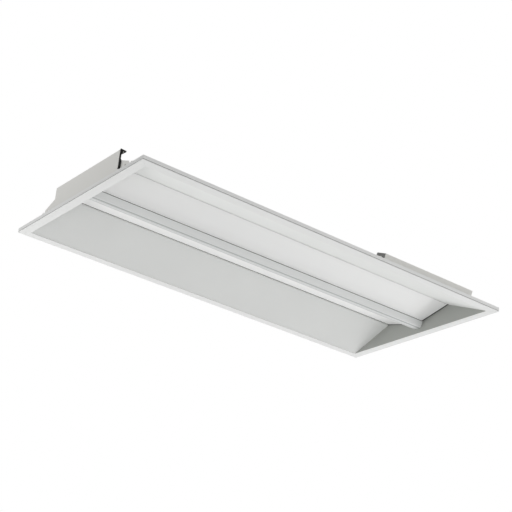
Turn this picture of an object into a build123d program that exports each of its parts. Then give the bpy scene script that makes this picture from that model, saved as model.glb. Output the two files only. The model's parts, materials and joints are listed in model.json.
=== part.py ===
from build123d import *
import math
import os

os.makedirs("parts", exist_ok=True)

# Recessed troffer light for a ceiling grid, in millimetres.
# Origin: centre of the flange underside. +X runs along the length, +Z points up into the ceiling.
# The near side is -Y, the left end is -X.

# ---------------------------------------------------------------- overall sizes
fixture_length = 1212.85
fixture_width = 603.25

# ---------------------------------------------------------------- sheet and fits
sheet = 0.9
end_gap = 0.2
fit_gap = 0.1
running_gap = 0.05
cover_gap = 0.3

# ---------------------------------------------------------------- trim
flange_width = 25.5
trim_thickness = 1.2
rim_height = 12.5
key_arm = 36.0
key_width = 9.0
key_thickness = 1.5
key_inset = 0.3

# ---------------------------------------------------------------- side reflectors
reflector_top_y = 130.0
reflector_top_z = 58.5
lip_height = 2.5
shelf_width = 12.0
foot_edge = 11.5

# ---------------------------------------------------------------- lenses
lens_thickness = 2.0
lens_overlap = 3.0
lens_end_gap = 3.6
lens_rise = 0.1
seal_thickness = 5.0
seal_length = 8.5
seal_side_gap = 1.8

# ---------------------------------------------------------------- centre bar
bar_half_width = 20.0
bar_bottom_z = 14.0
bar_floor_half = 2.0
bar_side = 2.2
bar_shoulder = 3.5
bar_web_rise = 4.3
bar_wall = 2.0
lens_seat = 0.8
lens_bar_gap = 1.0
plug_length = 16.0
bar_screw_r = 1.5
bar_screw_head_r = 3.0
bar_screw_head = 1.8
bar_screw_y = 8.0
bar_screw_drop = 5.0

# ---------------------------------------------------------------- light engine
board_side_margin = 4.5
board_thickness = 1.6
board_end_margin = 14.0
board_joint = 4.0
leds_per_board = 14
led_length = 5.6
led_width = 3.0
led_height = 0.8
board_screw_r = 1.25
board_screw_head_r = 2.5
board_screw_head = 1.4
board_screws_per_board = 3
board_screw_edge = 4.0
connector_length = 12.0
connector_width = 8.0
connector_height = 5.0
connector_x = 16.0

# ---------------------------------------------------------------- upper housing
pan_wall_step = 6.0
pan_riser = 5.0
pan_depth = 29.4
pan_slope_run = 40.0
cap_offset = 5.5
cap_margin = 25.5
cap_return = 15.0
cap_foot_edge = 8.5
cap_foot_clear = 2.125
shoulder_rise = 10.5
shoulder_length = 41.5
notch_width = 8.0
notch_depth = 5.0
cap_corner_inset = 8.0
plate_margin = 1.5
wire_hole_r = 2.2
wire_hole_inset = 17.0
wire_hole_drop = 12.1
pan_screw_r = 1.4
pan_screw_head_r = 2.8
pan_screw_head = 1.2
pan_screw_spacing = 50.0
pan_screws_per_end = 4
pan_screw_setback = 10.0

# ---------------------------------------------------------------- hanger hooks
hook_thickness = 4.0
hook_depth = 3.2
hook_top_drop = 2.0
hook_foot_width = 7.0
hook_foot_height = 25.0
hook_lip = 1.5
hook_lip_height = 2.0
hook_eye = 11.5
hook_eye_tip = 2.2
hook_eye_tip_drop = 2.0
hook_eye_drop = 15.5
hook_eye_wall = 2.2
hook_eye_roof = 3.3
hook_eye_hole = 6.5
hook_tab_length = 11.0
hook_tab_drop = 3.0
hook_tab_height = 10.0
hook_tab_thickness = 1.2
hook_rivet_r = 1.5
hook_rivet_head_r = 2.8
hook_rivet_head = 1.0

# ---------------------------------------------------------------- grid clips
clip_pivot_inset = 20.125
clip_pivot_z = 8.0
clip_length = 50.0
clip_width = 10.0
clip_thickness = 1.2
clip_standoff = 0.3
clip_rivet_r = 2.0
clip_rivet_head_r = 3.6
clip_rivet_head = 1.2

# ---------------------------------------------------------------- driver box
box_length = 339.0
box_end_clear = 17.0
box_front = 60.4
box_width = 36.6
box_height = 46.5
box_lip = 8.0
cover_skirt_gap = 2.0
knuckle_r = 2.8
knuckle_length = 12.0
knuckle_gap = 0.5
hinge_inset = 59.5
hinge_pin_r = 1.25
entry_r = 11.1
entry_drop = 18.3
knockout_gap = 0.2
driver_end_room = 67.0
driver_side_room = 6.6
driver_height = 21.0
driver_flange = 12.0
driver_flange_thickness = 1.2
driver_inset = 22.0
driver_screw_r = 1.8
driver_screw_head_r = 3.6
driver_screw_head = 2.2
terminal_length = 24.0
terminal_width = 16.0
terminal_height = 13.0
terminal_hole_r = 1.4
terminal_poles = 3
terminal_inset = 8.0
ground_screw_r = 2.0
ground_screw_head_r = 4.2
ground_screw_head = 2.6
ground_screw_end = 26.0
ground_screw_side = 10.0

# ---------------------------------------------------------------- studs
stud_r = 1.6
stud_head_r = 3.0
stud_head = 1.2
side_stud_margin = 71.0
side_studs = 7
end_stud_margin = 82.0
end_studs = 3
box_stud_inset = 13.0

# ---------------------------------------------------------------- derived values
half_length = fixture_length / 2
half_width = fixture_width / 2
open_x = half_length - flange_width
open_y = half_width - flange_width
slope_angle = math.atan2(reflector_top_z - trim_thickness, open_y - reflector_top_y)
slope_cos = math.cos(slope_angle)
slope_sin = math.sin(slope_angle)
slope_rate = math.tan(slope_angle)
shelf_z = reflector_top_z + lip_height
shelf_y = reflector_top_y + shelf_width
body_half = open_x - end_gap
foot_width = flange_width - foot_edge
foot_top = trim_thickness + sheet
plate_out = open_x + sheet
cap_out = open_x + cap_offset
cap_in = cap_out - sheet
cap_top = shelf_z + pan_depth
pan_top = cap_top - sheet
pan_wall_y = reflector_top_y + pan_wall_step
pan_top_half = pan_wall_y - pan_slope_run
cap_half_width = pan_wall_y + cap_margin
cap_plate_half = cap_half_width - hook_thickness - fit_gap
shoulder_reach = cap_half_width + shoulder_length
wire_hole_y = shoulder_reach - wire_hole_inset
cap_foot = flange_width - cap_offset - cap_foot_edge
key_x = half_length - trim_thickness - key_inset
key_y = half_width - trim_thickness - key_inset
cap_foot_half = key_y - key_arm - cap_foot_clear
side_stud_spacing = 2 * (open_x - side_stud_margin) / (side_studs - 1)
end_stud_spacing = 2 * (cap_foot_half - end_stud_margin) / (end_studs - 1)
clip_pivot_y = open_y - clip_pivot_inset
hook_tab_high = cap_top - hook_tab_drop
hook_rivet_y = cap_half_width - hook_thickness - hook_tab_length / 2
hook_rivet_z = hook_tab_high - hook_tab_height / 2
bar_corner = bar_half_width - bar_floor_half
bar_arc_z = bar_bottom_z + bar_corner
bar_shoulder_z = bar_arc_z + bar_side
bar_web_z = bar_shoulder_z + bar_web_rise
bar_screw_z = bar_arc_z - bar_screw_drop
lens_low_in = bar_shoulder_z + lens_seat
lens_rate = (shelf_z + lens_rise - lens_low_in) / (reflector_top_y - bar_half_width)
lens_angle = math.atan(lens_rate)
web_half = bar_half_width - bar_shoulder
lens_in_y = web_half + lens_bar_gap
board_width = 2 * (web_half - board_side_margin)
board_screw_y = board_width / 2 - board_screw_edge
lens_out_y = reflector_top_y + lens_overlap
board_z = bar_web_z + board_thickness
board_length = open_x - board_end_margin - board_joint
led_pitch = board_length / leds_per_board
box_right = open_x - box_end_clear
box_left = box_right - box_length
box_middle = (box_left + box_right) / 2
box_back = box_front + box_width
box_floor = sheet
box_inside = box_floor + sheet
hinge_u = box_back + knuckle_r - sheet
hinge_n = box_height + sheet - knuckle_r
driver_length = box_length - driver_inset - driver_end_room
driver_width = box_width - driver_side_room
half_turn = (0, 0, 180)


def save(builder, label):
    """Label a finished piece and write its STEP file."""
    builder.part.label = label
    export_step(builder.part, "parts/" + label + ".step")


def slope_z(y):
    """Height of the reflector's visible face at a distance y from the centre line."""
    return trim_thickness + (open_y - y) * slope_rate


def lens_z(y):
    """Height of a lens's lower face at a distance y from the centre line."""
    return lens_low_in + (y - bar_half_width) * lens_rate


def slope_section(x):
    """Plane across the near reflector's back: local x runs up the slope, local y stands off it."""
    return Plane(origin=(x, -open_y, trim_thickness), x_dir=(0, slope_cos, slope_sin), z_dir=(1, 0, 0))


def slope_face(lift):
    """Plane along the near reflector's back: local x is X, local y runs up the slope."""
    stand = Plane(origin=(0, -open_y, trim_thickness), x_dir=(1, 0, 0), z_dir=(0, -slope_sin, slope_cos))
    return stand.offset(lift)


def spread(count, pitch):
    """Evenly spaced values about zero."""
    return [(i - (count - 1) / 2) * pitch for i in range(count)]


side_stud_places = [(x, -(open_y + foot_width / 2)) for x in spread(side_studs, side_stud_spacing)]
end_stud_places = [(-(cap_out + cap_foot / 2), y) for y in spread(end_studs, end_stud_spacing)]
box_stud_places = [
    (x, u)
    for x in (box_left + box_stud_inset, box_right - box_stud_inset)
    for u in (box_front + stud_head_r + 2 * sheet, box_back - stud_head_r - 2 * sheet)
]
pan_screw_x = -(cap_out - pan_screw_setback)
pan_screw_places = [(pan_screw_x, y) for y in spread(pan_screws_per_end, pan_screw_spacing)]
bar_screw_places = [(-bar_screw_y, bar_screw_z), (bar_screw_y, bar_screw_z)]

# ================================================================ trim rails and corner keys
with BuildPart() as trim_rail_near:
    with BuildSketch(Plane.XY):
        with BuildLine():
            Polyline(
                (-half_length, -half_width),
                (half_length, -half_width),
                (open_x, -open_y),
                (-open_x, -open_y),
                close=True,
            )
        make_face()
    extrude(amount=trim_thickness)
    with BuildSketch(Plane.XY):
        with BuildLine():
            Polyline(
                (-half_length, -half_width),
                (half_length, -half_width),
                (half_length - trim_thickness, -half_width + trim_thickness),
                (-half_length + trim_thickness, -half_width + trim_thickness),
                close=True,
            )
        make_face()
    extrude(amount=rim_height)
save(trim_rail_near, "trim_rail_near")

with BuildPart() as trim_rail_far:
    mirror(trim_rail_near.part, about=Plane.XZ)
save(trim_rail_far, "trim_rail_far")

with BuildPart() as trim_rail_left:
    with BuildSketch(Plane.XY):
        with BuildLine():
            Polyline(
                (-half_length, -half_width),
                (-half_length, half_width),
                (-open_x, open_y),
                (-open_x, -open_y),
                close=True,
            )
        make_face()
    extrude(amount=trim_thickness)
    with BuildSketch(Plane.XY):
        with BuildLine():
            Polyline(
                (-half_length, -half_width),
                (-half_length, half_width),
                (-half_length + trim_thickness, half_width - trim_thickness),
                (-half_length + trim_thickness, -half_width + trim_thickness),
                close=True,
            )
        make_face()
    extrude(amount=rim_height)
save(trim_rail_left, "trim_rail_left")

with BuildPart() as trim_rail_right:
    mirror(trim_rail_left.part, about=Plane.YZ)
save(trim_rail_right, "trim_rail_right")

with BuildPart() as corner_keys:
    with BuildSketch(Plane.XY.offset(trim_thickness)):
        for side_x in (-1, 1):
            for side_y in (-1, 1):
                with BuildLine():
                    Polyline(
                        (side_x * key_x, side_y * key_y),
                        (side_x * (key_x - key_arm), side_y * key_y),
                        (side_x * (key_x - key_arm), side_y * (key_y - key_width)),
                        (side_x * (key_x - key_width), side_y * (key_y - key_width)),
                        (side_x * (key_x - key_width), side_y * (key_y - key_arm)),
                        (side_x * key_x, side_y * (key_y - key_arm)),
                        close=True,
                    )
                make_face()
    extrude(amount=key_thickness)
save(corner_keys, "corner_keys")

# ================================================================ side reflectors
with BuildPart() as side_reflector_near:
    with BuildSketch(Plane.YZ):
        with BuildLine():
            Polyline(
                (-(open_y + foot_width), trim_thickness),
                (-open_y, trim_thickness),
                (-reflector_top_y, reflector_top_z),
                (-reflector_top_y, shelf_z),
                (-shelf_y, shelf_z),
            )
            offset(amount=sheet, side=Side.LEFT, kind=Kind.INTERSECTION)
        make_face()
    extrude(amount=body_half, both=True)
    with BuildSketch(Plane.XY.offset(trim_thickness)):
        with Locations(side_stud_places):
            Circle(stud_r + fit_gap)
    extrude(amount=sheet, mode=Mode.SUBTRACT)
save(side_reflector_near, "side_reflector_near")

with BuildPart() as side_reflector_far:
    mirror(side_reflector_near.part, about=Plane.XZ)
save(side_reflector_far, "side_reflector_far")

# ================================================================ inner end plates
plate_lift = plate_margin / slope_cos + sheet
plate_shoulder_y = shelf_y + plate_margin
with BuildPart() as inner_end_plate_left:
    with BuildSketch(Plane.YZ.offset(-plate_out)):
        with BuildLine():
            Polyline(
                (-(open_y + plate_margin), trim_thickness),
                (-(open_y + plate_margin), trim_thickness + plate_margin),
                (-plate_shoulder_y, slope_z(plate_shoulder_y) + plate_lift),
                (-plate_shoulder_y, shelf_z + pan_riser),
                (-pan_top_half, pan_top),
                (pan_top_half, pan_top),
                (plate_shoulder_y, shelf_z + pan_riser),
                (plate_shoulder_y, slope_z(plate_shoulder_y) + plate_lift),
                (open_y + plate_margin, trim_thickness + plate_margin),
                (open_y + plate_margin, trim_thickness),
                close=True,
            )
        make_face()
        with Locations(bar_screw_places):
            Circle(bar_screw_r + fit_gap, mode=Mode.SUBTRACT)
    extrude(amount=sheet)
save(inner_end_plate_left, "inner_end_plate_left")

with BuildPart() as inner_end_plate_right:
    mirror(inner_end_plate_left.part, about=Plane.YZ)
save(inner_end_plate_right, "inner_end_plate_right")

# ================================================================ lenses and their end seals
lens_half = open_x - lens_end_gap
with BuildPart() as lens_near:
    with BuildSketch(Plane.YZ):
        with BuildLine():
            Polyline((-lens_out_y, lens_z(lens_out_y)), (-lens_in_y, lens_z(lens_in_y)))
            offset(amount=lens_thickness, side=Side.LEFT, kind=Kind.INTERSECTION)
        make_face()
    extrude(amount=lens_half, both=True)
save(lens_near, "lens_near")

with BuildPart() as lens_far:
    mirror(lens_near.part, about=Plane.XZ)
save(lens_far, "lens_far")

lens_lift = lens_thickness / math.cos(lens_angle)
seal_lift = seal_thickness / math.cos(lens_angle)
seal_in = lens_in_y + seal_side_gap
seal_out = reflector_top_y - seal_side_gap
with BuildPart() as lens_end_seals:
    for end in (-1, 1):
        for side in (-1, 1):
            with BuildSketch(Plane.YZ.offset(end * (body_half - seal_length / 2))):
                with BuildLine():
                    Polyline(
                        (side * seal_in, lens_z(seal_in) + lens_lift),
                        (side * seal_out, lens_z(seal_out) + lens_lift),
                        (side * seal_out, lens_z(seal_out) + lens_lift + seal_lift),
                        (side * seal_in, lens_z(seal_in) + lens_lift + seal_lift),
                        close=True,
                    )
                make_face()
            extrude(amount=seal_length / 2, both=True)
save(lens_end_seals, "lens_end_seals")

# ================================================================ centre bar
board_screw_pitch = board_length / board_screws_per_board
board_middle = board_joint + board_length / 2
board_screw_xs = [board_middle + x for x in spread(board_screws_per_board, board_screw_pitch)]
board_screw_places = [(end * x, board_screw_y) for end in (-1, 1) for x in board_screw_xs]
arc_mid = bar_corner * math.sqrt(0.5)

with BuildPart() as centre_bar:
    with BuildSketch(Plane.YZ):
        with BuildLine():
            Line((-bar_floor_half, bar_bottom_z), (bar_floor_half, bar_bottom_z))
            ThreePointArc(
                (bar_floor_half, bar_bottom_z),
                (bar_floor_half + arc_mid, bar_arc_z - arc_mid),
                (bar_half_width, bar_arc_z),
            )
            Polyline(
                (bar_half_width, bar_arc_z),
                (bar_half_width, bar_shoulder_z),
                (web_half, bar_shoulder_z),
                (web_half, bar_web_z),
                (-web_half, bar_web_z),
                (-web_half, bar_shoulder_z),
                (-bar_half_width, bar_shoulder_z),
                (-bar_half_width, bar_arc_z),
            )
            ThreePointArc(
                (-bar_half_width, bar_arc_z),
                (-bar_floor_half - arc_mid, bar_arc_z - arc_mid),
                (-bar_floor_half, bar_bottom_z),
            )
        make_face()
        offset(amount=-bar_wall, kind=Kind.INTERSECTION, mode=Mode.SUBTRACT)
    extrude(amount=body_half, both=True)
    with BuildSketch(Plane.XY.offset(bar_web_z)):
        with Locations(board_screw_places):
            Circle(board_screw_r + fit_gap)
    extrude(amount=-bar_wall, mode=Mode.SUBTRACT)
save(centre_bar, "centre_bar")

plug_inset = bar_wall + fit_gap
plug_half = bar_half_width - plug_inset
plug_corner = bar_corner - plug_inset
plug_mid = plug_corner * math.sqrt(0.5)
plug_top = bar_shoulder_z - plug_inset
with BuildPart() as bar_end_plug_left:
    with BuildSketch(Plane.YZ.offset(-body_half)):
        with BuildLine():
            Line((-bar_floor_half, bar_bottom_z + plug_inset), (bar_floor_half, bar_bottom_z + plug_inset))
            ThreePointArc(
                (bar_floor_half, bar_bottom_z + plug_inset),
                (bar_floor_half + plug_mid, bar_arc_z - plug_mid),
                (plug_half, bar_arc_z),
            )
            Polyline(
                (plug_half, bar_arc_z),
                (plug_half, plug_top),
                (-plug_half, plug_top),
                (-plug_half, bar_arc_z),
            )
            ThreePointArc(
                (-plug_half, bar_arc_z),
                (-bar_floor_half - plug_mid, bar_arc_z - plug_mid),
                (-bar_floor_half, bar_bottom_z + plug_inset),
            )
        make_face()
        with Locations(bar_screw_places):
            Circle(bar_screw_r + running_gap, mode=Mode.SUBTRACT)
    extrude(amount=plug_length)
save(bar_end_plug_left, "bar_end_plug_left")

with BuildPart() as bar_end_plug_right:
    mirror(bar_end_plug_left.part, about=Plane.YZ)
save(bar_end_plug_right, "bar_end_plug_right")

with BuildPart() as bar_screws:
    with BuildSketch(Plane.YZ.offset(-plate_out)):
        with Locations(bar_screw_places):
            Circle(bar_screw_r)
    extrude(amount=plug_length - sheet)
    with BuildSketch(Plane.YZ.offset(-plate_out)):
        with Locations(bar_screw_places):
            Circle(bar_screw_head_r)
    extrude(amount=-bar_screw_head)
    mirror(about=Plane.YZ)
save(bar_screws, "bar_screws")

# ================================================================ light engine on top of the bar
for end, label in ((-1, "led_board_left"), (1, "led_board_right")):
    with BuildPart() as led_board:
        with BuildSketch(Plane.XY.offset(bar_web_z)):
            with Locations((end * board_middle, 0)):
                Rectangle(board_length, board_width)
            with Locations(board_screw_places):
                Circle(board_screw_r + fit_gap, mode=Mode.SUBTRACT)
        extrude(amount=board_thickness)
    save(led_board, label)

led_xs = [board_joint + led_pitch * (i + 0.5) for i in range(leds_per_board)]
led_places = [(end * x, 0) for end in (-1, 1) for x in led_xs]
with BuildPart() as led_packages:
    with BuildSketch(Plane.XY.offset(board_z)):
        with Locations(led_places):
            Rectangle(led_length, led_width)
    extrude(amount=led_height)
save(led_packages, "led_packages")

with BuildPart() as board_screws:
    with BuildSketch(Plane.XY.offset(board_z)):
        with Locations(board_screw_places):
            Circle(board_screw_r)
    extrude(amount=-(board_thickness + bar_wall))
    with BuildSketch(Plane.XY.offset(board_z)):
        with Locations(board_screw_places):
            Circle(board_screw_head_r)
    extrude(amount=board_screw_head)
save(board_screws, "board_screws")

with BuildPart() as board_connectors:
    with BuildSketch(Plane.XY.offset(board_z)):
        with Locations((-connector_x, -board_screw_y), (connector_x, -board_screw_y)):
            Rectangle(connector_length, connector_width)
    extrude(amount=connector_height)
save(board_connectors, "board_connectors")

# ================================================================ back pan
with BuildPart() as back_pan:
    with BuildSketch(Plane.YZ):
        with BuildLine():
            Polyline(
                (-shelf_y, shelf_z),
                (-pan_wall_y, shelf_z),
                (-pan_wall_y, shelf_z + pan_riser),
                (-pan_top_half, pan_top - sheet),
                (pan_top_half, pan_top - sheet),
                (pan_wall_y, shelf_z + pan_riser),
                (pan_wall_y, shelf_z),
                (shelf_y, shelf_z),
            )
            offset(amount=sheet, side=Side.LEFT, kind=Kind.INTERSECTION)
        make_face()
    extrude(amount=body_half, both=True)
    with BuildSketch(Plane.XY.offset(pan_top)):
        with Locations(pan_screw_places + [(-x, y) for x, y in pan_screw_places]):
            Circle(pan_screw_r + fit_gap)
    extrude(amount=-sheet, mode=Mode.SUBTRACT)
save(back_pan, "back_pan")

# ================================================================ housing end caps
notch_in = shoulder_reach
notch_out = shoulder_reach + notch_width
cap_edge = open_y - cap_corner_inset
cap_outline = [
    (cap_plate_half, cap_top),
    (cap_plate_half, slope_z(cap_plate_half) + shoulder_rise),
    (notch_in, slope_z(notch_in) + shoulder_rise),
    (notch_in, slope_z(notch_in) + shoulder_rise - notch_depth),
    (notch_out, slope_z(notch_out) + shoulder_rise - notch_depth),
    (notch_out, slope_z(notch_out) + shoulder_rise),
    (cap_edge, slope_z(cap_edge) + shoulder_rise),
    (cap_edge, trim_thickness),
]
wire_hole_z = slope_z(wire_hole_y) + shoulder_rise - wire_hole_drop
with BuildPart() as housing_end_cap_left:
    with BuildSketch(Plane.YZ.offset(-cap_out)):
        with BuildLine():
            Polyline(*cap_outline, *[(-y, z) for y, z in reversed(cap_outline)], close=True)
        make_face()
        with Locations((-wire_hole_y, wire_hole_z), (wire_hole_y, wire_hole_z)):
            Circle(wire_hole_r, mode=Mode.SUBTRACT)
        with Locations((-clip_pivot_y, clip_pivot_z), (clip_pivot_y, clip_pivot_z)):
            Circle(clip_rivet_r + running_gap, mode=Mode.SUBTRACT)
        with Locations((-hook_rivet_y, hook_rivet_z)):
            Circle(hook_rivet_r + running_gap, mode=Mode.SUBTRACT)
    extrude(amount=sheet)
    with BuildSketch(Plane.XY.offset(cap_top)):
        with Locations((-(cap_out - cap_return / 2), 0)):
            Rectangle(cap_return, 2 * cap_plate_half)
        with Locations(pan_screw_places):
            Circle(pan_screw_r + fit_gap, mode=Mode.SUBTRACT)
    extrude(amount=-sheet)
    with BuildSketch(Plane.XY.offset(trim_thickness)):
        with Locations((-(cap_out + cap_foot / 2), 0)):
            Rectangle(cap_foot, 2 * cap_foot_half)
        with Locations(end_stud_places):
            Circle(stud_r + fit_gap, mode=Mode.SUBTRACT)
    extrude(amount=sheet)
save(housing_end_cap_left, "housing_end_cap_left")

with BuildPart() as housing_end_cap_right:
    add(housing_end_cap_left.part, rotation=half_turn)
save(housing_end_cap_right, "housing_end_cap_right")

with BuildPart() as pan_screws:
    with BuildSketch(Plane.XY.offset(cap_top)):
        with Locations(pan_screw_places):
            Circle(pan_screw_r)
    extrude(amount=-2 * sheet)
    with BuildSketch(Plane.XY.offset(cap_top)):
        with Locations(pan_screw_places):
            Circle(pan_screw_head_r)
    extrude(amount=pan_screw_head)
    mirror(about=Plane.YZ)
save(pan_screws, "pan_screws")

# ================================================================ hanger hooks, one at each end
# The right hook is the left one turned half round, so they stand on opposite sides.
hook_in = cap_in - fit_gap
hook_x = -hook_in
hook_face = -(cap_out + fit_gap)
hook_out = hook_face - hook_depth
hook_foot_top = slope_z(cap_plate_half) + shoulder_rise + fit_gap
hook_low_z = hook_foot_top - hook_foot_height
hook_top = cap_top - hook_top_drop
hook_tip_x = hook_x + hook_eye
hook_tip_z = hook_top - hook_eye_tip_drop
hook_hole_x = hook_x + hook_eye_wall
hook_hole_z = hook_top - hook_eye_roof
hook_inner_y = cap_half_width - hook_thickness
with BuildPart() as hanger_hook_left:
    with BuildSketch(Plane.XZ.offset(cap_half_width)):
        with BuildLine():
            Polyline(
                (hook_out, hook_low_z),
                (hook_face, hook_low_z),
                (hook_face, hook_top - hook_eye_drop),
                (hook_tip_x, hook_tip_z - hook_eye_tip),
                (hook_tip_x, hook_tip_z),
                (hook_out, hook_top),
                close=True,
            )
        make_face()
        with BuildLine():
            Polyline(
                (hook_hole_x, hook_hole_z),
                (hook_hole_x + hook_eye_hole, hook_hole_z),
                (hook_hole_x, hook_hole_z - hook_eye_hole),
                close=True,
            )
        make_face(mode=Mode.SUBTRACT)
    extrude(amount=-hook_thickness)
    with BuildSketch(Plane.XZ.offset(hook_inner_y)):
        with BuildLine():
            Polyline(
                (hook_out - hook_lip, hook_low_z),
                (hook_face, hook_low_z),
                (hook_face, hook_foot_top),
                (hook_out, hook_foot_top),
                (hook_out, hook_low_z + hook_lip_height),
                (hook_out - hook_lip, hook_low_z + hook_lip_height),
                close=True,
            )
        make_face()
    extrude(amount=hook_foot_width)
    with BuildSketch(Plane.YZ.offset(hook_x)):
        with Locations((-hook_rivet_y, hook_rivet_z)):
            Rectangle(hook_tab_length, hook_tab_height)
            Circle(hook_rivet_r + running_gap, mode=Mode.SUBTRACT)
    extrude(amount=hook_tab_thickness)
save(hanger_hook_left, "hanger_hook_left")

with BuildPart() as hanger_hook_right:
    add(hanger_hook_left.part, rotation=half_turn)
save(hanger_hook_right, "hanger_hook_right")

with BuildPart() as hook_rivets:
    for end in (-1, 1):
        with BuildSketch(Plane.YZ.offset(end * cap_out)):
            with Locations((end * hook_rivet_y, hook_rivet_z)):
                Circle(hook_rivet_r)
        extrude(amount=-end * (sheet + fit_gap + hook_tab_thickness))
        with BuildSketch(Plane.YZ.offset(end * (hook_in - hook_tab_thickness))):
            with Locations((end * hook_rivet_y, hook_rivet_z)):
                Circle(hook_rivet_head_r)
        extrude(amount=-end * hook_rivet_head)
save(hook_rivets, "hook_rivets")

# ================================================================ swinging grid clips and their rivets
clip_x = -(cap_out + clip_standoff)
clip_middle = clip_length / 2
clip_plane = Plane(
    origin=(clip_x, -clip_pivot_y, clip_pivot_z),
    x_dir=(0, slope_cos, slope_sin),
    z_dir=(1, 0, 0),
)
with BuildPart() as grid_clip_near_left:
    with BuildSketch(clip_plane):
        with Locations((clip_middle, 0)):
            Rectangle(clip_length, clip_width)
        Circle(clip_width / 2)
        Circle(clip_rivet_r + running_gap, mode=Mode.SUBTRACT)
    extrude(amount=-clip_thickness)
save(grid_clip_near_left, "grid_clip_near_left")

with BuildPart() as grid_clip_far_left:
    mirror(grid_clip_near_left.part, about=Plane.XZ)
save(grid_clip_far_left, "grid_clip_far_left")

with BuildPart() as grid_clip_near_right:
    mirror(grid_clip_near_left.part, about=Plane.YZ)
save(grid_clip_near_right, "grid_clip_near_right")

with BuildPart() as grid_clip_far_right:
    mirror(grid_clip_far_left.part, about=Plane.YZ)
save(grid_clip_far_right, "grid_clip_far_right")

clip_places = [(-clip_pivot_y, clip_pivot_z), (clip_pivot_y, clip_pivot_z)]
clip_head_x = clip_x - clip_thickness - running_gap
with BuildPart() as clip_rivets:
    with BuildSketch(Plane.YZ.offset(-cap_in)):
        with Locations(clip_places):
            Circle(clip_rivet_r)
    extrude(amount=-(cap_out - cap_in + clip_standoff + clip_thickness + running_gap))
    with BuildSketch(Plane.YZ.offset(clip_head_x)):
        with Locations(clip_places):
            Circle(clip_rivet_head_r)
    extrude(amount=-clip_rivet_head)
    with BuildSketch(Plane.YZ.offset(-cap_in)):
        with Locations(clip_places):
            Circle(clip_rivet_head_r)
    extrude(amount=clip_rivet_head)
    mirror(about=Plane.YZ)
save(clip_rivets, "clip_rivets")

# ================================================================ driver box on the near reflector's back
hinge_xs = [box_left + hinge_inset, box_right - hinge_inset]
box_knuckle_xs = [x + s * (knuckle_length + knuckle_gap) for x in hinge_xs for s in (-1, 1)]
knuckle_relief = 2 * knuckle_r + knuckle_gap
entry_u = box_front + box_width / 2
wall_top = box_height - cover_gap
entry_n = wall_top - entry_drop
driver_left = box_left + driver_inset
driver_right = driver_left + driver_length
driver_u = box_front + sheet + cover_gap + driver_width / 2
driver_screw_xs = (driver_left + driver_flange / 2, driver_right - driver_flange / 2)
ground_x = box_right - ground_screw_end
ground_u = box_back - ground_screw_side

with BuildPart() as driver_box:
    with BuildSketch(slope_section(box_middle)):
        with BuildLine():
            Polyline(
                (box_front, box_floor + box_lip),
                (box_front, box_floor),
                (box_back, box_floor),
                (box_back, wall_top),
            )
            offset(amount=sheet, side=Side.LEFT, kind=Kind.INTERSECTION)
        make_face()
    extrude(amount=box_length / 2, both=True)
    for x, direction in ((box_left, 1), (box_right, -1)):
        with BuildSketch(slope_section(x)):
            with Locations((entry_u, (box_floor + wall_top) / 2)):
                Rectangle(box_width, wall_top - box_floor)
            with Locations((entry_u, entry_n)):
                Circle(entry_r, mode=Mode.SUBTRACT)
        extrude(amount=direction * sheet)
    for x in hinge_xs:
        with BuildSketch(slope_section(x)):
            with Locations((hinge_u, hinge_n)):
                Rectangle(knuckle_relief + 2 * sheet, knuckle_relief + 2 * sheet)
        extrude(amount=(knuckle_length + knuckle_gap) / 2 + knuckle_gap / 2, both=True, mode=Mode.SUBTRACT)
    for x in box_knuckle_xs:
        with BuildSketch(slope_section(x)):
            with Locations((hinge_u, hinge_n)):
                Circle(knuckle_r)
        extrude(amount=knuckle_length / 2, both=True)
        with BuildSketch(slope_section(x)):
            with Locations((hinge_u, hinge_n)):
                Circle(hinge_pin_r + running_gap)
        extrude(amount=knuckle_length / 2, both=True, mode=Mode.SUBTRACT)
    with BuildSketch(slope_face(box_floor)):
        with Locations(box_stud_places):
            Circle(stud_r + fit_gap)
        with Locations([(x, driver_u) for x in driver_screw_xs]):
            Circle(driver_screw_r + fit_gap)
        with Locations((ground_x, ground_u)):
            Circle(ground_screw_r + fit_gap)
    extrude(amount=sheet, mode=Mode.SUBTRACT)
save(driver_box, "driver_box")

cover_front = box_front - cover_gap - sheet
cover_end = box_back - sheet - 2 * cover_gap
with BuildPart() as driver_cover:
    with BuildSketch(slope_section(box_middle)):
        with BuildLine():
            Polyline(
                (cover_front, box_floor + cover_skirt_gap),
                (cover_front, box_height + sheet),
                (cover_end, box_height + sheet),
            )
            offset(amount=sheet, side=Side.RIGHT, kind=Kind.INTERSECTION)
        make_face()
    extrude(amount=box_length / 2, both=True)
    for x in hinge_xs:
        with BuildSketch(slope_section(x)):
            with Locations(((cover_end + hinge_u) / 2, box_height + sheet / 2)):
                Rectangle(hinge_u - cover_end, sheet)
            with Locations((hinge_u, hinge_n)):
                Circle(knuckle_r)
        extrude(amount=knuckle_length / 2, both=True)
        with BuildSketch(slope_section(x)):
            with Locations((hinge_u, hinge_n)):
                Circle(hinge_pin_r + running_gap)
        extrude(amount=knuckle_length / 2, both=True, mode=Mode.SUBTRACT)
save(driver_cover, "driver_cover")

pin_half = 1.5 * knuckle_length + knuckle_gap
with BuildPart() as cover_hinge_pins:
    for x in hinge_xs:
        with BuildSketch(slope_section(x)):
            with Locations((hinge_u, hinge_n)):
                Circle(hinge_pin_r)
        extrude(amount=pin_half, both=True)
save(cover_hinge_pins, "cover_hinge_pins")

with BuildPart() as box_studs:
    with BuildSketch(slope_face(box_floor)):
        with Locations(box_stud_places):
            Circle(stud_r)
    extrude(amount=sheet)
    with BuildSketch(slope_face(box_inside)):
        with Locations(box_stud_places):
            Circle(stud_head_r)
    extrude(amount=stud_head)
save(box_studs, "box_studs")

with BuildPart() as box_knockout:
    with BuildSketch(slope_section(box_left)):
        with Locations((entry_u, entry_n)):
            Circle(entry_r - knockout_gap)
    extrude(amount=sheet)
save(box_knockout, "box_knockout")

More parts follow.
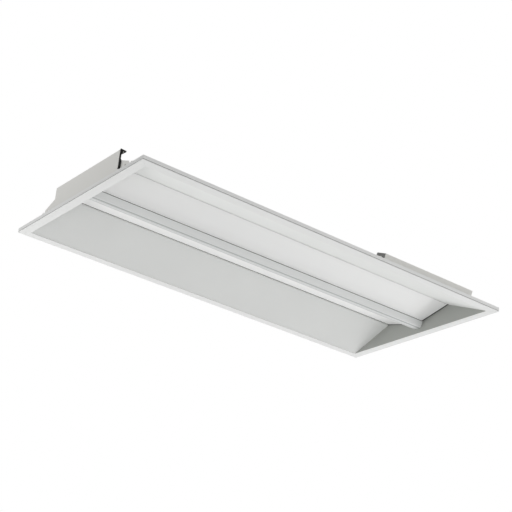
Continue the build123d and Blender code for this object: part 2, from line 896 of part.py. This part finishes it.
# ================================================================ driver, terminal block and ground screw
with BuildPart() as led_driver:
    with BuildSketch(slope_face(box_inside)):
        with Locations(((driver_left + driver_right) / 2, driver_u)):
            Rectangle(driver_length, driver_width)
        with Locations([(x, driver_u) for x in driver_screw_xs]):
            Circle(driver_screw_r + fit_gap, mode=Mode.SUBTRACT)
    extrude(amount=driver_flange_thickness)
    with BuildSketch(slope_face(box_inside)):
        with Locations(((driver_left + driver_right) / 2, driver_u)):
            Rectangle(driver_length - 2 * driver_flange, driver_width)
    extrude(amount=driver_height)
save(led_driver, "led_driver")

with BuildPart() as driver_screws:
    with BuildSketch(slope_face(box_floor)):
        with Locations([(x, driver_u) for x in driver_screw_xs]):
            Circle(driver_screw_r)
    extrude(amount=sheet + driver_flange_thickness)
    with BuildSketch(slope_face(box_inside + driver_flange_thickness)):
        with Locations([(x, driver_u) for x in driver_screw_xs]):
            Circle(driver_screw_head_r)
    extrude(amount=driver_screw_head)
save(driver_screws, "driver_screws")

terminal_x = driver_right + terminal_inset + terminal_length / 2
terminal_u = box_front + sheet + cover_gap + terminal_width / 2
terminal_pitch = terminal_length / terminal_poles
with BuildPart() as terminal_block:
    with BuildSketch(slope_face(box_inside)):
        with Locations((terminal_x, terminal_u)):
            Rectangle(terminal_length, terminal_width)
    extrude(amount=terminal_height)
    with BuildSketch(slope_face(box_inside + terminal_height)):
        with Locations([(terminal_x + x, terminal_u) for x in spread(terminal_poles, terminal_pitch)]):
            Circle(terminal_hole_r)
    extrude(amount=-terminal_height / 2, mode=Mode.SUBTRACT)
save(terminal_block, "terminal_block")

with BuildPart() as ground_screw:
    with BuildSketch(slope_face(box_floor)):
        with Locations((ground_x, ground_u)):
            Circle(ground_screw_r)
    extrude(amount=sheet)
    with BuildSketch(slope_face(box_inside)):
        with Locations((ground_x, ground_u)):
            RegularPolygon(ground_screw_head_r, 6)
    extrude(amount=ground_screw_head)
save(ground_screw, "ground_screw")

# ================================================================ studs that hold the feet to the trim
with BuildPart() as foot_studs:
    with BuildSketch(Plane.XY.offset(trim_thickness)):
        with Locations(side_stud_places + [(x, -y) for x, y in side_stud_places]):
            Circle(stud_r)
        with Locations(end_stud_places + [(-x, y) for x, y in end_stud_places]):
            Circle(stud_r)
    extrude(amount=sheet)
    with BuildSketch(Plane.XY.offset(foot_top)):
        with Locations(side_stud_places + [(x, -y) for x, y in side_stud_places]):
            Circle(stud_head_r)
        with Locations(end_stud_places + [(-x, y) for x, y in end_stud_places]):
            Circle(stud_head_r)
    extrude(amount=stud_head)
save(foot_studs, "foot_studs")
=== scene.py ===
"""A recessed troffer light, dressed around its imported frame. Metres unless a name ends in _MM."""

import json
import math

import bmesh
import bpy
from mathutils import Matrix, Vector

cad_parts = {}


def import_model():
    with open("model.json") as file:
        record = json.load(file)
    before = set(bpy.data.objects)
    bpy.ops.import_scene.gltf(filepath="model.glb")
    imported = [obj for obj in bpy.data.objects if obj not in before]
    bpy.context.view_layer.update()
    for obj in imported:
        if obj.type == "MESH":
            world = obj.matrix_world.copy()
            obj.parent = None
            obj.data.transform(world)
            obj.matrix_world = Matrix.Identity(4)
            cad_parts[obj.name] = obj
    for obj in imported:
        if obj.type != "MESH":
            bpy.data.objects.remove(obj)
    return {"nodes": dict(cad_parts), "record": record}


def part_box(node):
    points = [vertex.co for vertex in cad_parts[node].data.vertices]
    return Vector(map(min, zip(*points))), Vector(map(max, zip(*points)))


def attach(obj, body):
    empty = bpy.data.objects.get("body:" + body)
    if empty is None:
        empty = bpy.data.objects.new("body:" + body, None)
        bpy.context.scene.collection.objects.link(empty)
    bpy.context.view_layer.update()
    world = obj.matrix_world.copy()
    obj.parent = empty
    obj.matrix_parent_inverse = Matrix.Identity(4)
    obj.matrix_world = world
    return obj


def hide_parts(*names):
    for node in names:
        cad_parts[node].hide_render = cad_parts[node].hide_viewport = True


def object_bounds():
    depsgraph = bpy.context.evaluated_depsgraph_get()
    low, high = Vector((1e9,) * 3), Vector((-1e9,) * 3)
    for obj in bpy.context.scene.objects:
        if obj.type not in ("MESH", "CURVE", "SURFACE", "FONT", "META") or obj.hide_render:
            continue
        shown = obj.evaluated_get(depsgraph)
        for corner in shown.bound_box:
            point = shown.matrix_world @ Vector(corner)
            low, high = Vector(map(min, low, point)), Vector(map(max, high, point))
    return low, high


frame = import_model()
cad_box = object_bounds()
nodes = frame["nodes"]
bodies = frame["record"]["behaviour"]["bodies"]
node_body = {node: body for body, members in bodies.items() for node in members}
node_slot = {part["node"]: part["material_slot"] for part in frame["record"]["subparts"]}

MM = 0.001

# ---------------------------------------------------------------- camera
CAMERA_PLACE = (-2.00531, -2.72497, -1.46089)
CAMERA_TURN_DEG = (114.1503, -5.1017, -38.1323)
CAMERA_LENS_MM = 94.376
SENSOR_MM = 36.0
CLIP = (0.05, 100.0)

# ---------------------------------------------------------------- studio
FLOOR_Z = -2.6
FLOOR_SIZE = 240.0
FLOOR_COLOR = (0.8, 0.8, 0.8)
FLOOR_ROUGH = 0.9
FLOOR_GLOW = 0.48
AMBIENT = 0.42
SOFTBOX_SIZE = (2.4, 1.8)
SOFTBOXES = {  # place, power in watts
    "far_left": ((-2.4, 2.2, -0.9), 42.0),
    "far_middle": ((0.0, 2.9, -1.1), 18.0),
    "far_right": ((2.0, 1.7, -1.3), 13.0),
    "near_right": ((1.9, -1.6, -1.2), 15.0),
    "near_below": ((-0.3, -2.9, -1.0), 17.0),
    "above": ((0.6, -1.0, 2.6), 17.0),
}

# ---------------------------------------------------------------- meshes
WELD_MM = 0.002
FLAT_DEG = 0.4  # faces that differ by less are merged
SHARP_DEG = 24.0  # edges that turn by more are rounded and shaded sharp
FOLD_DEG = 9.0  # the same for sheet pieces, whose folds are shallow
SCREW_SHARP_DEG = 34.0
FACING = 0.9  # a face looks along an axis when its normal has more than this along it
FOLDED = (
    "back_pan",
    "side_reflector",
    "inner_end_plate",
    "housing_end_cap",
    "driver_box",
    "driver_cover",
    "lens_near",
    "lens_far",
    "trim_rail",
)

# ---------------------------------------------------------------- radius of rounded edges, by start of name
BEVEL_SEGMENTS = 2
ROUNDING_MM = {
    "trim_rail": 0.35,
    "side_reflector": 0.25,
    "inner_end_plate": 0.2,
    "lens_near": 0.45,
    "lens_far": 0.45,
    "bar_end_plug": 0.3,
    "back_pan": 0.25,
    "housing_end_cap": 0.25,
    "hanger_hook": 0.3,
    "grid_clip": 0.3,
    "driver_box": 0.22,
    "driver_cover": 0.22,
    "led_driver": 0.5,
    "terminal_block": 0.4,
    "corner_keys": 0.3,
    "board_connectors": 0.4,
    "led_board": 0.15,
    "led_packages": 0.1,
    "box_knockout": 0.15,
    "foot_studs": 0.3,
    "clip_rivets": 0.35,
    "hook_rivets": 0.3,
    "box_studs": 0.3,
    "cover_hinge_pins": 0.2,
    "ground_screw": 0.3,
}

# ---------------------------------------------------------------- shadow line rolled into the rim with painted shade at its bottom, painted shade on the box's ends
RIM_LINE_MM = (1.4, 1.7, 3.1, 3.4)  # heights of its lower lip, bottom and upper lip
RIM_LINE_DEPTH_MM = 0.8
RIM_WALL_MM = 1.2
END_DEPTH_MM = 2.5

# ---------------------------------------------------------------- far half of the bar: y, z, corner radius
BAR_STEPS = 6
BAR_OUTER_MM = [
    (0.6, 14.0, 1.0),
    (4.5, 14.96, 0.1),
    (4.7, 15.6, 0.1),
    (9.3, 16.75, 0.1),
    (9.5, 16.19, 0.1),
    (14.8, 17.5, 3.4),
    (20.0, 33.2, 0.8),
    (20.0, 34.2, 0.3),
    (16.5, 34.2, 0.3),
    (16.5, 38.5, 0.6),
]
BAR_INNER_MM = [
    (0.6, 16.1, 1.0),
    (4.5, 17.0, 0.1),
    (4.7, 17.3, 0.1),
    (9.3, 18.45, 0.1),
    (9.5, 18.2, 0.1),
    (13.4, 19.3, 1.4),
    (17.4, 31.0, 0.8),
    (17.4, 32.2, 0.3),
    (14.5, 32.2, 0.3),
    (14.5, 36.5, 0.6),
]
# painted shade on the bar's sunk bands: their span from the middle, and the height below which it goes, in
# millimetres
SHADE_BAND_MM = (4.8, 9.2)
SHADE_BAND_TOP_MM = 16.9

# ---------------------------------------------------------------- black strips of painted shade: foam at the lens ends, thin lines along the lens sides
LENS_THICKNESS_MM = 2.05
LENS_INNER_MM = 20.4
SHADE_STRIP_STEPS = 3
SHADE_STRIP_SET_BACK_MM = 0.3
SHADE_STRIP_TALL_MM = 7.0
SHADE_STRIP_ROUND_MM = 0.25
SHADE_STRIP_SLIT_MM = 0.1
SHADOW_LINE_ROUND_MM = 0.1
# painted shadow: thin dark lines where the lens meets the bar and the reflector
LENS_SHADOW_LINES_MM = {  # by side, -1 near and 1 far: from y, to y, height below the lens
    -1: ((20.0, 20.4, 1.2), (124.7, 125.2, 0.2)),
    1: ((20.0, 20.4, 1.2), (124.7, 125.2, 0.8)),
}

# ---------------------------------------------------------------- screws
SCREW_STEPS = 32
# As parts of the head's height and radius: the dome's depths and radii, then the cross recess.
SCREW_DOME = ((0.62, 1.0), (0.30, 0.90), (0.08, 0.62), (0.0, 0.46), (0.0, 0.36))
RECESS_DEPTH = 0.55
RECESS_CORE = 0.12
RECESS_REACH = 0.20
RECESS_WINGS = 4


def starts(name, table):
    """The value whose key the name starts with, or None."""
    return next((value for key, value in table.items() if name.startswith(key)), None)


def smooth(mesh, sharp_deg):
    """Shade a mesh smooth but for the edges that turn by more than an angle."""
    for face in mesh.polygons:
        face.use_smooth = True
    mesh.set_sharp_from_angle(angle=math.radians(sharp_deg))


def formed(name, mesh):
    """An object for the mesh that stands for a node."""
    piece = bpy.data.objects.new(name + "_formed", mesh)
    bpy.context.scene.collection.objects.link(piece)
    return piece


# ================================================================ materials
def material(name, color, rough, metallic=0.0):
    """A principled material with its constants on the shader's own sockets."""
    m = bpy.data.materials.new(name)
    m.use_nodes = True
    shader = m.node_tree.nodes["Principled BSDF"]
    shader.inputs["Base Color"].default_value = (*color, 1)
    shader.inputs["Roughness"].default_value = rough
    shader.inputs["Metallic"].default_value = metallic
    return m, m.node_tree, shader


def noise(tree, scale, detail=2.0, stretch=(1, 1, 1)):
    """Noise over the piece's own coordinates, in metres."""
    place = tree.nodes.new("ShaderNodeTexCoord")
    mapping = tree.nodes.new("ShaderNodeMapping")
    mapping.inputs["Scale"].default_value = stretch
    tex = tree.nodes.new("ShaderNodeTexNoise")
    tex.inputs["Scale"].default_value = scale
    tex.inputs["Detail"].default_value = detail
    tree.links.new(place.outputs["Object"], mapping.inputs["Vector"])
    tree.links.new(mapping.outputs["Vector"], tex.inputs["Vector"])
    return tex


def tint(tree, shader, tex, color, amount):
    """Vary the colour a little, darker and lighter, by a noise."""
    ramp = tree.nodes.new("ShaderNodeValToRGB")
    stops = ((0.3, 1 - amount), (0.7, 1 + amount))
    for stop, (position, factor) in zip(ramp.color_ramp.elements, stops):
        stop.position = position
        stop.color = (*[min(c * factor, 1) for c in color], 1)
    tree.links.new(tex.outputs["Fac"], ramp.inputs["Fac"])
    tree.links.new(ramp.outputs["Color"], shader.inputs["Base Color"])


def vary_roughness(tree, shader, tex, low, high):
    """Spread the roughness between two values by a noise."""
    spread = tree.nodes.new("ShaderNodeMapRange")
    spread.inputs["To Min"].default_value = low
    spread.inputs["To Max"].default_value = high
    tree.links.new(tex.outputs["Fac"], spread.inputs["Value"])
    tree.links.new(spread.outputs["Result"], shader.inputs["Roughness"])


def bump(tree, shader, tex, depth):
    """Surface relief of a depth in metres."""
    node = tree.nodes.new("ShaderNodeBump")
    node.inputs["Distance"].default_value = depth
    node.inputs["Strength"].default_value = 1.0
    tree.links.new(tex.outputs["Fac"], node.inputs["Height"])
    tree.links.new(node.outputs["Normal"], shader.inputs["Normal"])


def powder_coat(name, color, rough, grain=900.0, depth=0.000012, amount=0.012):
    """Painted sheet: a fine orange-peel grain and slow, faint changes of tone."""
    m, tree, shader = material(name, color, rough)
    tint(tree, shader, noise(tree, scale=6.0, detail=3.0), color, amount)
    fine = noise(tree, grain)
    vary_roughness(tree, shader, fine, rough - 0.05, rough + 0.05)
    bump(tree, shader, fine, depth)
    return m


def opal_acrylic(name, color):
    """Satin opal sheet, with a little light passing into it."""
    m, tree, shader = material(name, color, 0.32)
    shader.inputs["Subsurface Weight"].default_value = 0.25
    shader.inputs["Subsurface Radius"].default_value = (0.004, 0.004, 0.0038)
    shader.inputs["Subsurface Scale"].default_value = 1.0
    tint(tree, shader, noise(tree, scale=3.0), color, amount=0.006)
    bump(tree, shader, noise(tree, scale=1400.0, detail=1.0), depth=0.000004)
    return m


def foam(name, color):
    """Closed-cell foam: fine pits over the whole surface, and hardly any gloss. It colours the black strips of
    painted shade at the lenses.
    """
    m, tree, shader = material(name, color, 0.95)
    shader.inputs["Specular IOR Level"].default_value = 0.1
    cells = noise(tree, scale=1500.0, detail=3.0)
    tint(tree, shader, cells, color, amount=0.35)
    bump(tree, shader, cells, depth=0.0002)
    return m


def plated_steel(name, color, rough, stretch=(1, 1, 1)):
    """Zinc plating: soft cloudy crystals and faint drawing lines."""
    m, tree, shader = material(name, color, rough, metallic=1.0)
    tint(tree, shader, noise(tree, scale=240.0, detail=4.0), color, amount=0.08)
    lines = noise(tree, scale=900.0, stretch=stretch)
    vary_roughness(tree, shader, lines, rough - 0.08, rough + 0.1)
    bump(tree, shader, lines, depth=0.000006)
    return m


def black_oxide(name, color):
    """Dull blackened steel, nearly without gloss."""
    m, tree, shader = material(name, color, 0.75)
    shader.inputs["Specular IOR Level"].default_value = 0.15
    grain = noise(tree, scale=1400.0)
    tint(tree, shader, grain, color, amount=0.3)
    bump(tree, shader, grain, depth=0.00002)
    return m


def moulded(name, color, rough):
    """Moulded plastic: a fine grain and slight changes of tone."""
    m, tree, shader = material(name, color, rough)
    grain = noise(tree, scale=1800.0)
    tint(tree, shader, noise(tree, scale=60.0), color, amount=0.03)
    vary_roughness(tree, shader, grain, rough - 0.06, rough + 0.06)
    bump(tree, shader, grain, depth=0.00001)
    return m


FINISHES = {  # maker, colour and the rest of what the maker takes
    "trim_white": (powder_coat, (0.78, 0.785, 0.775), 0.42),
    "reflector_white": (powder_coat, (0.775, 0.785, 0.77), 0.62),
    # Painted shade: the end plates are given a grey darker than their own white paint, for the shade they
    # stand in inside the recess.
    "end_plate_grey": (powder_coat, (0.345, 0.355, 0.335), 0.55),
    "lens_opal": (opal_acrylic, (0.94, 0.945, 0.93)),
    # The black foam is painted shade in the gaps at the lens ends and along the lens sides.
    "seal_black": (foam, (0.008, 0.008, 0.008)),
    "bar_white": (powder_coat, (0.72, 0.73, 0.725), 0.38),
    "board_white": (moulded, (0.85, 0.85, 0.83), 0.45),
    "led_yellow": (moulded, (0.85, 0.68, 0.16), 0.3),
    "housing_grey": (powder_coat, (0.76, 0.755, 0.725), 0.45),
    "hook_black": (black_oxide, (0.008, 0.008, 0.008)),
    "clip_steel": (plated_steel, (0.66, 0.66, 0.65), 0.34, (1, 12, 12)),
    "zinc": (plated_steel, (0.68, 0.67, 0.64), 0.36),
    "driver_case": (powder_coat, (0.82, 0.82, 0.81), 0.4),
    "terminal_grey": (moulded, (0.55, 0.56, 0.58), 0.5),
    "ground_green": (powder_coat, (0.02, 0.20, 0.06), 0.35, 700.0, 0.00001, 0.1),
}
finishes = {slot: maker(slot, *values) for slot, (maker, *values) in FINISHES.items()}
# Painted shade: a dark grey for the ends of the driver box and the bottom of the rim's shadow line.
dark_painted_shade = powder_coat("dark_painted_shade", (0.20, 0.20, 0.195), 0.5)
# Painted shade: a darker grey for the sunk bands under the centre bar.
bar_band_painted_shade = powder_coat("bar_band_painted_shade", (0.46, 0.475, 0.465), 0.45)


def paint(obj, slot):
    """Give an object the finish of a slot, and no other."""
    obj.data.materials.clear()
    obj.data.materials.append(finishes[slot])


def paint_shade_in_rim_line(piece):
    """Paint shade on the bottom of the rim's shadow line: a dark grey for the shade that falls in it."""
    piece.data.materials.append(dark_painted_shade)
    shallow = RIM_WALL_MM / 2 * MM
    deep = shallow + RIM_WALL_MM / 3 * MM
    for face in piece.data.polygons:
        if not RIM_LINE_MM[0] * MM < face.center.z < RIM_LINE_MM[3] * MM:
            continue
        for axis in (0, 1):
            inset = cad_box[1][axis] - abs(face.center[axis])
            if abs(face.normal[axis]) > FACING and shallow < inset < deep:
                face.material_index = 1


def paint_shade_on_box_ends(piece, name):
    """Paint shade on the outer end walls of the driver box: a darker grey for the shade that they stand in."""
    low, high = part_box(name)
    piece.data.materials.append(dark_painted_shade)
    for face in piece.data.polygons:
        to_end = min(face.center.x - low[0], high[0] - face.center.x)
        if abs(face.normal.x) > FACING and to_end < END_DEPTH_MM * MM:
            face.material_index = 1


# ================================================================ rounded copies of the formed pieces
def rounded(name, width_mm):
    """A copy of a piece's mesh with merged faces and its sharp edges rounded inwards."""
    sharp = FOLD_DEG if name.startswith(FOLDED) else SHARP_DEG
    mesh = nodes[name].data.copy()
    mesh.name = name + "_formed"
    bm = bmesh.new()
    bm.from_mesh(mesh)
    bmesh.ops.remove_doubles(bm, verts=bm.verts, dist=WELD_MM * MM)
    bmesh.ops.dissolve_limit(
        bm,
        angle_limit=math.radians(FLAT_DEG),
        verts=bm.verts,
        edges=bm.edges,
        use_dissolve_boundaries=False,
    )
    bm.to_mesh(mesh)
    bm.free()
    piece = formed(name, mesh)
    bevel = piece.modifiers.new("edges", "BEVEL")
    bevel.width = width_mm * MM
    bevel.segments = BEVEL_SEGMENTS
    bevel.limit_method = "ANGLE"
    bevel.angle_limit = math.radians(sharp)
    bevel.use_clamp_overlap = True
    bevel.harden_normals = True
    depsgraph = bpy.context.evaluated_depsgraph_get()
    applied = bpy.data.meshes.new_from_object(piece.evaluated_get(depsgraph))
    piece.modifiers.clear()
    piece.data = applied
    if name.startswith("trim_rail"):
        roll_rim_line(applied)
    smooth(applied, sharp)
    return piece


def roll_rim_line(mesh):
    """Roll a narrow shadow line into the rim, just above the flange."""
    bm = bmesh.new()
    bm.from_mesh(mesh)
    for level in RIM_LINE_MM:
        everything = bm.verts[:] + bm.edges[:] + bm.faces[:]
        bmesh.ops.bisect_plane(bm, geom=everything, plane_co=(0, 0, level * MM), plane_no=(0, 0, 1))
    low = (RIM_LINE_MM[0] + RIM_LINE_MM[1]) / 2 * MM
    high = (RIM_LINE_MM[2] + RIM_LINE_MM[3]) / 2 * MM
    for v in bm.verts:
        if not low < v.co.z < high:
            continue
        for axis in (0, 1):
            if cad_box[1][axis] - abs(v.co[axis]) < RIM_WALL_MM / 2 * MM:
                v.co[axis] -= math.copysign(RIM_LINE_DEPTH_MM * MM, v.co[axis])
    bm.to_mesh(mesh)
    bm.free()


def stand_for(piece, name):
    """Put a piece in the place of a node, on its body and with its finish."""
    paint(piece, node_slot[name])
    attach(piece, node_body[name])
    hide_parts(name)


for name in sorted(nodes):
    width = starts(name, ROUNDING_MM)
    paint(nodes[name], node_slot[name])
    if width:
        piece = rounded(name, width)
        stand_for(piece, name)
        # Painted shade on the driver box's ends.
        if name in ("driver_box", "driver_cover"):
            paint_shade_on_box_ends(piece, name)
        # Painted shade at the bottom of the rim's shadow line.
        if name.startswith("trim_rail"):
            paint_shade_in_rim_line(piece)


# ================================================================ centre bar, and black strips of painted shade at the lenses
def rounded_outline(corners, steps):
    """Points of a closed outline in (y, z), in millimetres, with an arc at each corner (y, z, radius)."""
    points = []
    for i, (y, z, radius) in enumerate(corners):
        here = Vector((y, z))
        before = (Vector(corners[i - 1][:2]) - here).normalized()
        after = (Vector(corners[(i + 1) % len(corners)][:2]) - here).normalized()
        half = before.angle(after) / 2
        reach = radius / math.tan(half)
        centre = here + (before + after).normalized() * radius / math.sin(half)
        start = here + before * reach - centre
        turn = (here + after * reach - centre).angle_signed(start)
        for k in range(steps + 1):
            cos, sin = math.cos(turn * k / steps), math.sin(turn * k / steps)
            points.append(centre + Vector((start.x * cos - start.y * sin, start.x * sin + start.y * cos)))
    return points


def tube_along_x(bm, outer, inner, low_x, high_x):
    """A hollow extrusion between two outlines of equal count."""
    loops = []
    for x, outline in ((low_x, outer), (high_x, outer), (high_x, inner), (low_x, inner)):
        loops.append([bm.verts.new((x, p[0] * MM, p[1] * MM)) for p in outline])
    count = len(outer)
    for a, b in zip(loops, loops[1:] + loops[:1]):
        for i in range(count):
            j = (i + 1) % count
            bm.faces.new((a[i], a[j], b[j], b[i]))


def block_along_x(bm, outline, low_x, high_x):
    """A closed extrusion of one outline."""
    ends = [[bm.verts.new((x, p[0] * MM, p[1] * MM)) for p in outline] for x in (low_x, high_x)]
    count = len(outline)
    for i in range(count):
        j = (i + 1) % count
        bm.faces.new((ends[0][i], ends[0][j], ends[1][j], ends[1][i]))
    bm.faces.new(list(reversed(ends[0])))
    bm.faces.new(ends[1])


def finished(bm, name):
    """The piece that a bmesh makes, smooth but for its sharp edges, in the place of a node."""
    bmesh.ops.recalc_face_normals(bm, faces=bm.faces)
    mesh = bpy.data.meshes.new(name + "_formed")
    bm.to_mesh(mesh)
    bm.free()
    smooth(mesh, SHARP_DEG)
    piece = formed(name, mesh)
    stand_for(piece, name)
    return piece


def whole_outline(half):
    """Both sides of an outline whose far side is given from bottom to top."""
    return half + [(-y, z, r) for y, z, r in reversed(half)]


def bar():
    """The bar: leaning sides, and a shallow V bottom with a wide sunk band along each side of it, given a
    darker grey as painted shade.
    """
    low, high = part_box("centre_bar")
    bm = bmesh.new()
    outlines = [rounded_outline(whole_outline(half), BAR_STEPS) for half in (BAR_OUTER_MM, BAR_INNER_MM)]
    tube_along_x(bm, *outlines, low[0], high[0])
    piece = finished(bm, "centre_bar")
    piece.data.materials.append(bar_band_painted_shade)
    for face in piece.data.polygons:
        in_shade_band = SHADE_BAND_MM[0] < abs(face.center.y) / MM < SHADE_BAND_MM[1]
        if in_shade_band and face.normal.z < -FACING and face.center.z < SHADE_BAND_TOP_MM * MM:
            face.material_index = 1


def lens_underside(y):
    """Height of the lens underside at y, in millimetres, from the lens's own box."""
    low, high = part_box("lens_far")
    inner_y, outer_y = low[1] / MM, high[1] / MM
    inner_z = low[2] / MM
    outer_z = high[2] / MM - LENS_THICKNESS_MM
    return inner_z + (y - inner_y) / (outer_y - inner_y) * (outer_z - inner_z)


def painted_shade_strips():
    """Black strips of painted shade: foam between each lens end and the end plate, and a thin line along each
    long side of the lens.
    """
    lens_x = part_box("lens_far")[1][0]
    plate_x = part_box("inner_end_plate_right")[0][0]
    outer_y = abs(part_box("lens_end_seals")[0][1]) / MM
    bm = bmesh.new()

    def strip(side, low_y, high_y, below, above, radius, low_x, high_x):
        """A block along X that follows the lens underside, from one height off it to another."""
        outline = [
            (side * y, lens_underside(y) + height, radius)
            for y, height in ((low_y, below), (high_y, below), (high_y, above), (low_y, above))
        ]
        block_along_x(bm, rounded_outline(outline, SHADE_STRIP_STEPS), low_x, high_x)

    for side in LENS_SHADOW_LINES_MM:
        for end in (-1, 1):
            ends = sorted((end * (lens_x + SHADE_STRIP_SLIT_MM * MM), end * (plate_x - SHADE_STRIP_SLIT_MM * MM)))
            strip(side, LENS_INNER_MM, outer_y, SHADE_STRIP_SET_BACK_MM, SHADE_STRIP_TALL_MM, SHADE_STRIP_ROUND_MM, *ends)
        for low_y, high_y, tall in LENS_SHADOW_LINES_MM[side]:
            strip(side, low_y, high_y, -tall, 0.0, SHADOW_LINE_ROUND_MM, -lens_x, lens_x)
    finished(bm, "lens_end_seals")


bar()
# Black strips of painted shade at the lenses.
painted_shade_strips()


# ================================================================ screws with real heads
def islands(name):
    """The vertices of each separate solid of a node."""
    bm = bmesh.new()
    bm.from_mesh(nodes[name].data)
    bmesh.ops.remove_doubles(bm, verts=bm.verts, dist=WELD_MM * MM)
    bm.verts.index_update()
    seen = set()
    found = []
    for start in bm.verts:
        if start.index in seen:
            continue
        stack = [start]
        group = []
        seen.add(start.index)
        while stack:
            v = stack.pop()
            group.append(v.co.copy())
            for e in v.link_edges:
                w = e.other_vert(v)
                if w.index not in seen:
                    seen.add(w.index)
                    stack.append(w)
        found.append(group)
    bm.free()
    return found


def screw_mesh(group, axis, head_r, head_h, shank_r):
    """A domed screw with a cross recess, along axis, filling the solid that it stands for."""
    reach = [p.dot(axis) for p in group]
    top, bottom = max(reach), min(reach)
    centre = sum(group, Vector()) / len(group)
    base = centre - axis * centre.dot(axis)
    side = axis.orthogonal().normalized()
    other = axis.cross(side)
    turns = [2 * math.pi * i / SCREW_STEPS for i in range(SCREW_STEPS)]
    spokes = [side * math.cos(t) + other * math.sin(t) for t in turns]
    wings = [(0.5 + 0.5 * math.cos(RECESS_WINGS * t)) ** 2 for t in turns]
    rings = [(bottom, shank_r), (top - head_h, shank_r), (top - head_h, head_r)]
    rings += [(top - head_h * depth, head_r * width) for depth, width in SCREW_DOME]
    levels = [(level, [radius] * SCREW_STEPS) for level, radius in rings]
    levels.append((top - head_h * RECESS_DEPTH, [head_r * (RECESS_CORE + RECESS_REACH * w) for w in wings]))
    bm = bmesh.new()
    loops = [
        [bm.verts.new(base + axis * level + radius * spoke) for radius, spoke in zip(radii, spokes)]
        for level, radii in levels
    ]
    for a, b in zip(loops, loops[1:]):
        for i in range(SCREW_STEPS):
            j = (i + 1) % SCREW_STEPS
            bm.faces.new((a[i], a[j], b[j], b[i]))
    bm.faces.new(list(reversed(loops[0])))
    bm.faces.new(loops[-1])
    bmesh.ops.recalc_face_normals(bm, faces=bm.faces)
    return bm


def screws(name, axis_of, *sizes_mm):
    """All the screws of a node, as one piece: head radius, head height and shank radius."""
    whole = bmesh.new()
    for group in islands(name):
        one = screw_mesh(group, axis_of(group), *[size * MM for size in sizes_mm])
        part = bpy.data.meshes.new("one")
        one.to_mesh(part)
        one.free()
        whole.from_mesh(part)
        bpy.data.meshes.remove(part)
    mesh = bpy.data.meshes.new(name + "_formed")
    whole.to_mesh(mesh)
    whole.free()
    smooth(mesh, SCREW_SHARP_DEG)
    stand_for(formed(name, mesh), name)


def outward(group):
    """Along X, away from the middle."""
    return Vector((1 if group[0].x > 0 else -1, 0, 0))


def upward(_):
    """Along Z."""
    return Vector((0, 0, 1))


def off_slope(_):
    """Straight off the sloping floor of the driver box, as the tops of the screw heads face."""
    tops = [face.normal for face in nodes["driver_screws"].data.polygons if face.normal.z > FACING]
    return sum(tops, Vector()).normalized()


screws("pan_screws", upward, 2.8, 1.2, 1.4)
screws("board_screws", upward, 2.5, 1.4, 1.25)
screws("bar_screws", outward, 3.0, 1.8, 1.5)
screws("driver_screws", off_slope, 3.6, 2.2, 1.8)


# ================================================================ camera, floor and light
def camera():
    """The camera at the photograph's viewing angle."""
    data = bpy.data.cameras.new("camera")
    data.lens = CAMERA_LENS_MM
    data.sensor_width = SENSOR_MM
    data.clip_start, data.clip_end = CLIP
    cam = bpy.data.objects.new("camera", data)
    cam.location = CAMERA_PLACE
    cam.rotation_euler = [math.radians(a) for a in CAMERA_TURN_DEG]
    bpy.context.scene.collection.objects.link(cam)
    bpy.context.scene.camera = cam


def seen_as_white(tree):
    """One for what the camera sees directly, in gloss or through glass, and nought for other light."""
    path = tree.nodes.new("ShaderNodeLightPath")
    total = path.outputs["Is Camera Ray"]
    for ray in ("Is Glossy Ray", "Is Transmission Ray"):
        either = tree.nodes.new("ShaderNodeMath")
        either.operation = "MAXIMUM"
        tree.links.new(total, either.inputs[0])
        tree.links.new(path.outputs[ray], either.inputs[1])
        total = either.outputs[0]
    return total


def world():
    """An even room light that the camera and reflections see as white."""
    w = bpy.data.worlds.new("studio")
    bpy.context.scene.world = w
    w.use_nodes = True
    tree = w.node_tree
    tree.nodes.clear()
    out = tree.nodes.new("ShaderNodeOutputWorld")
    mix = tree.nodes.new("ShaderNodeMixShader")
    tree.links.new(seen_as_white(tree), mix.inputs["Fac"])
    for socket, strength in ((1, AMBIENT), (2, 1.0)):
        light = tree.nodes.new("ShaderNodeBackground")
        light.inputs["Color"].default_value = (1, 1, 1, 1)
        light.inputs["Strength"].default_value = strength
        tree.links.new(light.outputs[0], mix.inputs[socket])
    tree.links.new(mix.outputs[0], out.inputs["Surface"])


def softbox(name, place, power):
    """A soft rectangular lamp that looks at the middle of the frame."""
    data = bpy.data.lights.new(name, "AREA")
    data.shape = "RECTANGLE"
    data.size, data.size_y = SOFTBOX_SIZE
    data.energy = power
    lamp = bpy.data.objects.new(name, data)
    lamp.location = place
    lamp.rotation_euler = (-Vector(place)).to_track_quat("-Z", "Y").to_euler()
    bpy.context.scene.collection.objects.link(lamp)


def floor():
    """A plain pale floor that takes shadows, with a glow that only the camera, gloss and glass see."""
    mesh = bpy.data.meshes.new("floor")
    half = FLOOR_SIZE / 2
    corners = [(x * half, y * half, FLOOR_Z) for x, y in ((-1, -1), (1, -1), (1, 1), (-1, 1))]
    mesh.from_pydata(corners, [], [(0, 1, 2, 3)])
    obj = bpy.data.objects.new("floor", mesh)
    bpy.context.scene.collection.objects.link(obj)
    m, tree, shader = material("floor_pale", FLOOR_COLOR, FLOOR_ROUGH)
    shader.inputs["Emission Color"].default_value = (1, 1, 1, 1)
    glow = tree.nodes.new("ShaderNodeMath")
    glow.operation = "MULTIPLY"
    glow.inputs[1].default_value = FLOOR_GLOW
    tree.links.new(seen_as_white(tree), glow.inputs[0])
    tree.links.new(glow.outputs[0], shader.inputs["Emission Strength"])
    obj.data.materials.append(m)


camera()
world()
floor()
for name, (place, power) in SOFTBOXES.items():
    softbox(name, place, power)

bpy.context.scene.view_settings.view_transform = "Standard"
